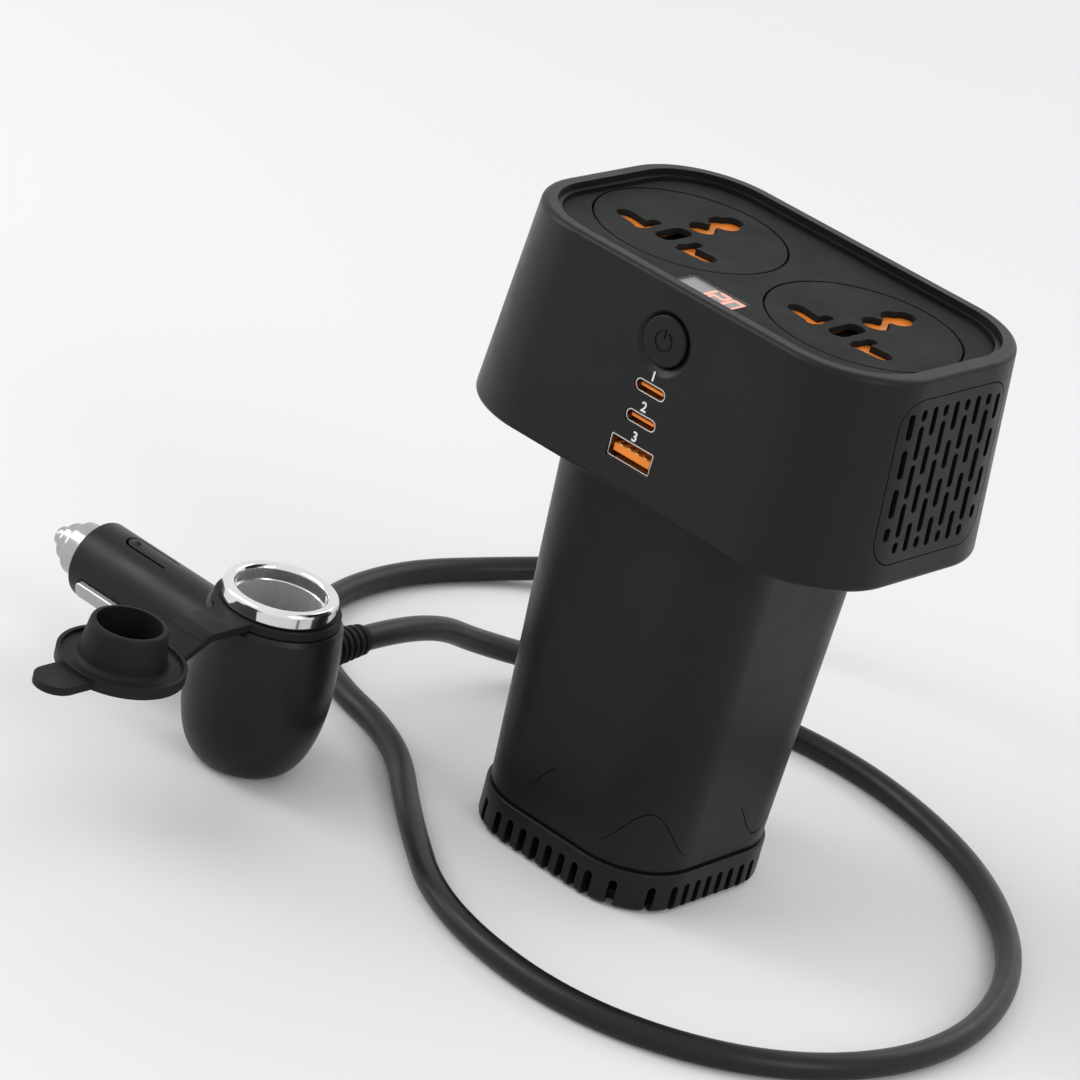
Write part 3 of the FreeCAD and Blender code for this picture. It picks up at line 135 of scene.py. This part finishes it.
def bump(tree, shader, fac, strength, distance, edge=0.0):
    """Fine relief; with an edge radius, the shading of sharp edges is softened too."""
    node = tree.nodes.new("ShaderNodeBump")
    node.inputs["Strength"].default_value = strength
    node.inputs["Distance"].default_value = distance
    tree.links.new(fac, node.inputs["Height"])
    if edge:
        soft = tree.nodes.new("ShaderNodeBevel")
        soft.samples = 4
        soft.inputs["Radius"].default_value = edge
        tree.links.new(soft.outputs["Normal"], node.inputs["Normal"])
    tree.links.new(node.outputs["Normal"], shader.inputs["Normal"])


def tint(tree, shader, fac, dark, light):
    """Base colour that wanders between two close shades."""
    ramp = tree.nodes.new("ShaderNodeValToRGB")
    for stop, position, color in zip(ramp.color_ramp.elements, TINT_STOPS, (dark, light)):
        stop.position = position
        stop.color = (*color, 1.0)
    tree.links.new(fac, ramp.inputs["Fac"])
    tree.links.new(ramp.outputs["Color"], shader.inputs["Base Color"])


def shaded(color, factor):
    return [c * factor for c in color]


def moulded(name, color, roughness, specular=0.3, grain=MOULD_GRAIN):
    """Moulded plastic: fine grain, faint cloudy change of shade and gloss."""
    material, tree, shader = new_material(name, color, roughness, specular)
    cloud = noise(tree, CLOUD_GRAIN)
    tint(tree, shader, cloud, shaded(color, 1 - CLOUD_SWING), shaded(color, 1 + CLOUD_SWING))
    spread(tree, noise(tree, GLOSS_GRAIN), roughness - GLOSS_SWING, roughness + GLOSS_SWING,
           shader.inputs["Roughness"])
    bump(tree, shader, noise(tree, grain, 2.0), MOULD_STRENGTH, MOULD_DEPTH, MOULD_EDGE)
    return material


def metal(name, color, roughness, stretch=None, strength=0.05, metallic=1.0, grain=TOOL_GRAIN):
    """Plated, turned or drawn metal with fine tool marks."""
    material, tree, shader = new_material(name, color, roughness, metallic=metallic)
    marks = noise(tree, grain, 2.0, stretch)
    spread(tree, marks, roughness * (1 - TOOL_SWING), roughness * (1 + TOOL_SWING),
           shader.inputs["Roughness"])
    cloud = noise(tree, METAL_CLOUD_GRAIN)
    tint(tree, shader, cloud, shaded(color, 1 - METAL_CLOUD_SWING), color)
    bump(tree, shader, marks, strength, TOOL_DEPTH, TOOL_EDGE)
    return material


def glass(name, color, roughness, alpha):
    """Clear window: mostly see-through, with the gloss of its surface."""
    material, tree, shader = new_material(name, color, roughness)
    shader.inputs["Alpha"].default_value = alpha
    spread(tree, noise(tree, GLASS_GRAIN), roughness, roughness + GLASS_SWING,
           shader.inputs["Roughness"])
    return material


def lit(name, color, strength):
    """Figures that glow."""
    material, tree, shader = new_material(name, color, 0.4)
    shader.inputs["Emission Color"].default_value = (*color, 1.0)
    shader.inputs["Emission Strength"].default_value = strength
    tint(tree, shader, noise(tree, FIGURE_GRAIN), shaded(color, 1 - CLOUD_SWING), color)
    return material


materials = {
    "housing_plastic": moulded("housing_plastic", (0.0080, 0.0080, 0.0083), 0.37, 0.2),
    "plate_plastic": moulded("plate_plastic", (0.0108, 0.0122, 0.0117), 0.62, 0.12, 3200.0),
    "button_plastic": moulded("button_plastic", (0.0080, 0.0080, 0.0083), 0.48, 0.18),
    "inner_plastic": moulded("inner_plastic", (0.006, 0.006, 0.006), 0.6, 0.2),
    "orange_plastic": moulded("orange_plastic", (0.83, 0.23, 0.024), 0.4, 0.35),
    "adapter_plastic": moulded("adapter_plastic", (0.0078, 0.0078, 0.0081), 0.35, 0.22),
    "rubber": moulded("rubber", (0.0082, 0.0082, 0.0086), 0.58, 0.18, 1800.0),
    "cord_jacket": moulded("cord_jacket", (0.0080, 0.0080, 0.0084), 0.35, 0.26, 1500.0),
    "chrome": metal("chrome", (0.74, 0.75, 0.76), 0.1, None, 0.01),
    "plated_steel": metal("plated_steel", (0.60, 0.60, 0.59), 0.22),
    "turned_steel": metal("turned_steel", (0.42, 0.42, 0.415), 0.2, (1.0, 0.03, 0.03)),
    "drawn_steel": metal("drawn_steel", (0.90, 0.90, 0.90), 0.24, (1.0, 1.0, 0.02), 0.06, 0.8,
                         700.0),
    "screw_steel": metal("screw_steel", (0.42, 0.42, 0.43), 0.35),
    "brass": metal("brass", (0.80, 0.58, 0.25), 0.25),
    "copper": metal("copper", (0.70, 0.32, 0.14), 0.35, (1.0, 1.0, 14.0)),
    "aluminium": metal("aluminium", (0.72, 0.73, 0.74), 0.38, (1.0, 1.0, 0.1)),
    "ferrite": moulded("ferrite", (0.05, 0.05, 0.052), 0.7, 0.3, 1600.0),
    "board": moulded("board", (0.015, 0.12, 0.05), 0.35, 0.5),
    "component": moulded("component", (0.02, 0.02, 0.022), 0.4, 0.4),
    "fuse_glass": glass("fuse_glass", (0.8, 0.83, 0.84), 0.05, 0.3),
    "display_glass": glass("display_glass", (0.60, 0.62, 0.62), 0.12, 0.08),
    "display_panel": moulded("display_panel", (0.29, 0.30, 0.30), 0.35, 0.4),
    "display_figures": lit("display_figures", (0.68, 0.235, 0.17), 1.45),
    "marking": moulded("marking", (0.78, 0.78, 0.78), 0.55, 0.3),
}

# The frame's pieces take their finish: the record's slot, or one of their own
own_finish = {
    "socket_sleeve": "drawn_steel",
    "plug_nose": "turned_steel",
    "plug_tip": "turned_steel",
    "side_contact_front": "turned_steel",
    "side_contact_back": "turned_steel",
}
SHARP_ANGLE = math.radians(32)
for part in frame["record"]["subparts"]:
    mesh = frame["nodes"][part["node"]].data
    mesh.materials.clear()
    mesh.materials.append(materials[own_finish.get(part["node"], part["material_slot"])])
    mesh.shade_smooth()
    mesh.set_sharp_from_angle(angle=SHARP_ANGLE)


def finish_piece(piece, body, finish):
    """Gives a modelled piece its finish and its body."""
    piece.data.materials.append(materials[finish])
    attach(piece, body)


def add_mesh(name, build):
    """Mesh object from a function that fills a bmesh."""
    mesh = bpy.data.meshes.new(name)
    form = bmesh.new()
    build(form)
    bmesh.ops.recalc_face_normals(form, faces=form.faces)
    form.to_mesh(mesh)
    form.free()
    piece = bpy.data.objects.new(name, mesh)
    bpy.context.scene.collection.objects.link(piece)
    return piece


# Power cord: the same route as the part's tube
CORD_POINTS = [
    CORD_EXIT, (-18, 90, 114.1), (-26, 114, 93), (-42, 122, 62), (-62, 120, 32),
    (-88, 108, 10), (-112, 82, 3.25), (-124, 46, 3.25), (-118, 8, 3.25), (-90, -14, 3.25),
    (-56, -22, 3.25), (-28, -48, 3.25), (6, -74, 3.25), (54, -78, 3.25), (94, -52, 3.25),
    (110, -6, 3.25), (96, 42, 3.25), (60, 76, 3.25), (14, 90, 3.25), (-28, 84, 3.25),
    (-62, 57, 3.25), (-73, 26, 12), (-71.5, -2, 25.5), (-71.5, -26.1, 25.5),
]


def add_cord():
    data = bpy.data.curves.new("cord_sheath", "CURVE")
    data.dimensions = "3D"
    data.bevel_depth = CORD_R * MM
    data.bevel_resolution = 7
    data.resolution_u = 16
    data.use_fill_caps = True
    line = data.splines.new("NURBS")
    line.points.add(len(CORD_POINTS) - 1)
    for point, place in zip(line.points, CORD_POINTS):
        point.co = (*mm(*place), 1.0)
    line.use_endpoint_u = True
    line.order_u = 3
    cord = bpy.data.objects.new("cord_sheath", data)
    bpy.context.scene.collection.objects.link(cord)
    finish_piece(cord, "housing", "cord_jacket")
    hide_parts("power_cord")


add_cord()


# Plain numerals over the ports: the port's solid, and the rise above its middle in millimetres
MARKS = {
    "1": ("usb_c_upper_shell", 3.3),
    "2": ("usb_c_lower_shell", 3.3),
    "3": ("usb_a_shell", 4.4),
}
MARK_SIZE = 3.4
MARK_SINK = 0.02
MARK_DEPTH = 0.03
MARK_WEIGHT = 0.08
# The front face is probed beside the ports, from well in front of the head
PROBE_X = 3.4
PROBE_Y = -200
head = frame["nodes"]["head_shell"]


def add_text(name, text, place, slope):
    data = bpy.data.curves.new(name, "FONT")
    data.body = text
    data.size = MARK_SIZE * MM
    data.align_x = "CENTER"
    data.align_y = "CENTER"
    data.extrude = MARK_DEPTH * MM
    data.offset = MARK_WEIGHT * MM
    piece = bpy.data.objects.new(name, data)
    piece.rotation_euler = (slope, 0, 0)
    piece.location = mm(*place)
    bpy.context.scene.collection.objects.link(piece)
    return piece


def on_front(x, z):
    """Point and slope of the head's front face, found by a ray from the front."""
    found, place, normal, face = head.ray_cast(mm(x, PROBE_Y, z), Vector((0, 1, 0)))
    return place / MM, math.atan2(-normal.y, normal.z)


for figure, (port, rise) in MARKS.items():
    port_low, port_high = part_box(port)
    place, slope = on_front(PROBE_X, (port_low.z + port_high.z) / 2 / MM + rise)
    mark = add_text("port_mark_" + figure, figure, (0, place.y - MARK_SINK, place.z), slope)
    finish_piece(mark, "housing", "marking")


# Wall inside the head that parts the air of the two grilles
BAFFLE_HALF = 0.6
BAFFLE_GAP = 0.1


def add_air_baffle():
    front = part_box("port_board")[1].y / MM + BAFFLE_GAP
    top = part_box("socket_carrier_left")[0].z / MM - BAFFLE_GAP

    def rear(z):
        found, place, normal, face = head.ray_cast(mm(0, 0, z), Vector((0, 1, 0)))
        return place.y / MM

    outline = [
        (front, HEAD_FLOOR_Z),
        (rear(HEAD_FLOOR_Z + 1), HEAD_FLOOR_Z),
        (rear(top), top),
        (front, top),
    ]

    def build(form):
        left, right = (
            [form.verts.new(mm(x, y, z)) for y, z in outline] for x in (-BAFFLE_HALF, BAFFLE_HALF)
        )
        form.faces.new(left)
        form.faces.new(right[::-1])
        for k in range(len(outline)):
            m = (k + 1) % len(outline)
            form.faces.new((left[k], right[k], right[m], left[m]))

    finish_piece(add_mesh("air_baffle", build), "housing", "inner_plastic")


add_air_baffle()


# Rubber band that carries the strap over the hinge line
def add_strap_band():
    """Rounded band from the neck ring to the cap, which bends where the two halves meet."""
    reach, rows, skin, edge = 5.0, 24, 0.03, 0.3
    strap_low, strap_high = (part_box("cap_strap")[k].z / MM for k in (0, 1))
    middle = (strap_low + strap_high) / 2
    half_w = STRAP_HALF + skin
    half_t = (strap_high - strap_low) / 2 + skin
    section = []
    for corner, (sx, sz) in enumerate(((1, 1), (-1, 1), (-1, -1), (1, -1))):
        for step in range(4):
            a = math.radians(90 * corner + 30 * step)
            section.append((sx * (half_w - edge) + edge * math.cos(a),
                            sz * (half_t - edge) + edge * math.sin(a)))

    def build(form):
        rings = []
        for row in range(rows + 1):
            y = HINGE[0] + reach * (1 - 2 * row / rows)
            drop = max(0.0, HINGE[0] - STRAP_BEND - y) * STRAP_SLOPE
            ring = [mm(BARREL[0] + x, y, middle + z - drop) for x, z in section]
            rings.append([form.verts.new(place) for place in ring])
        for first, second in zip(rings, rings[1:]):
            for k in range(len(section)):
                m = (k + 1) % len(section)
                form.faces.new((first[k], first[m], second[m], second[k]))
        form.faces.new(rings[0])
        form.faces.new(rings[-1][::-1])

    band = add_mesh("strap_band", build)
    band.data.shade_smooth()
    band.data.materials.append(materials["rubber"])
    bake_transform(band)


add_strap_band()


# Floor: a wide sheet of pale paper
FLOOR_SIZE = 8.0
FLOOR_COLOR = (0.86, 0.86, 0.86)
PAPER_GRAIN = 400.0
PAPER_DEPTH = 0.0001


def add_floor():
    material, tree, shader = new_material("floor_paper", FLOOR_COLOR, 0.9, 0.05)
    bump(tree, shader, noise(tree, PAPER_GRAIN), 0.05, PAPER_DEPTH)
    bpy.ops.mesh.primitive_plane_add(size=FLOOR_SIZE)
    floor = bpy.context.object
    floor.name = "studio_floor"
    floor.data.materials.append(material)


add_floor()


# Lamps: place, height of the aim above the origin and size in metres, power in watts
LAMPS = {
    "key_light": ((-0.9, -1.0, 1.5), 0.08, (1.0, 1.0), 7.4),
    "side_light": ((1.7, -0.35, 1.0), 0.1, (0.8, 1.2), 7.2),
    "back_light": ((0.2, 1.4, 1.3), 0.1, (1.4, 0.8), 6.2),
    "left_strip": ((-0.8, -0.42, 0.5), 0.1, (0.3, 0.8), 2.7),
}
WORLD_LIGHT = 0.65


def add_lamp(name, place, aim_z, size, power):
    data = bpy.data.lights.new(name, "AREA")
    data.shape = "RECTANGLE"
    data.size, data.size_y = size
    data.energy = power
    lamp = bpy.data.objects.new(name, data)
    lamp.location = place
    aim = Vector((0, 0, aim_z)) - Vector(place)
    lamp.rotation_euler = aim.to_track_quat("-Z", "Y").to_euler()
    bpy.context.scene.collection.objects.link(lamp)


for lamp_name, settings in LAMPS.items():
    add_lamp(lamp_name, *settings)


def add_world():
    """White to the camera, to gloss and through glass, and dimmer as a light."""
    world = bpy.data.worlds.new("studio_world")
    bpy.context.scene.world = world
    world.use_nodes = True
    tree = world.node_tree
    back = tree.nodes["Background"]
    back.inputs["Color"].default_value = (1, 1, 1, 1)
    path = tree.nodes.new("ShaderNodeLightPath")
    seen = tree.nodes.new("ShaderNodeMath")
    seen.operation = "MAXIMUM"
    tree.links.new(path.outputs["Is Camera Ray"], seen.inputs[0])
    tree.links.new(path.outputs["Is Transmission Ray"], seen.inputs[1])
    shiny = tree.nodes.new("ShaderNodeMath")
    shiny.operation = "MAXIMUM"
    tree.links.new(seen.outputs[0], shiny.inputs[0])
    tree.links.new(path.outputs["Is Glossy Ray"], shiny.inputs[1])
    level = tree.nodes.new("ShaderNodeMapRange")
    level.inputs["To Min"].default_value = WORLD_LIGHT
    level.inputs["To Max"].default_value = 1.0
    tree.links.new(shiny.outputs[0], level.inputs["Value"])
    tree.links.new(level.outputs["Result"], back.inputs["Strength"])


add_world()


# Camera: the photograph's viewpoint, fitted to it; degrees and millimetres
CAMERA_AZIMUTH, CAMERA_ELEVATION, CAMERA_ROLL = 35.496, 24.260, 15.088
CAMERA_PLACE = (612.803, -923.619, 572.351)
CAMERA_LENS = 168.55


def add_camera():
    data = bpy.data.cameras.new("photo_camera")
    data.sensor_width = 36.0
    data.lens = CAMERA_LENS
    data.clip_end = 20.0
    camera = bpy.data.objects.new("photo_camera", data)
    azimuth, elevation, roll = map(math.radians, (CAMERA_AZIMUTH, CAMERA_ELEVATION, CAMERA_ROLL))
    back = Vector((math.sin(azimuth) * math.cos(elevation),
                   -math.cos(azimuth) * math.cos(elevation),
                   math.sin(elevation)))
    level = Vector((0, 0, 1)).cross(back).normalized()
    upward = back.cross(level)
    right = level * math.cos(roll) + upward * math.sin(roll)
    up = upward * math.cos(roll) - level * math.sin(roll)
    turn = Matrix((right, up, back)).transposed().to_4x4()
    camera.matrix_world = Matrix.Translation(mm(*CAMERA_PLACE)) @ turn
    bpy.context.scene.collection.objects.link(camera)
    bpy.context.scene.camera = camera


add_camera()
bpy.context.scene.view_settings.view_transform = "Standard"
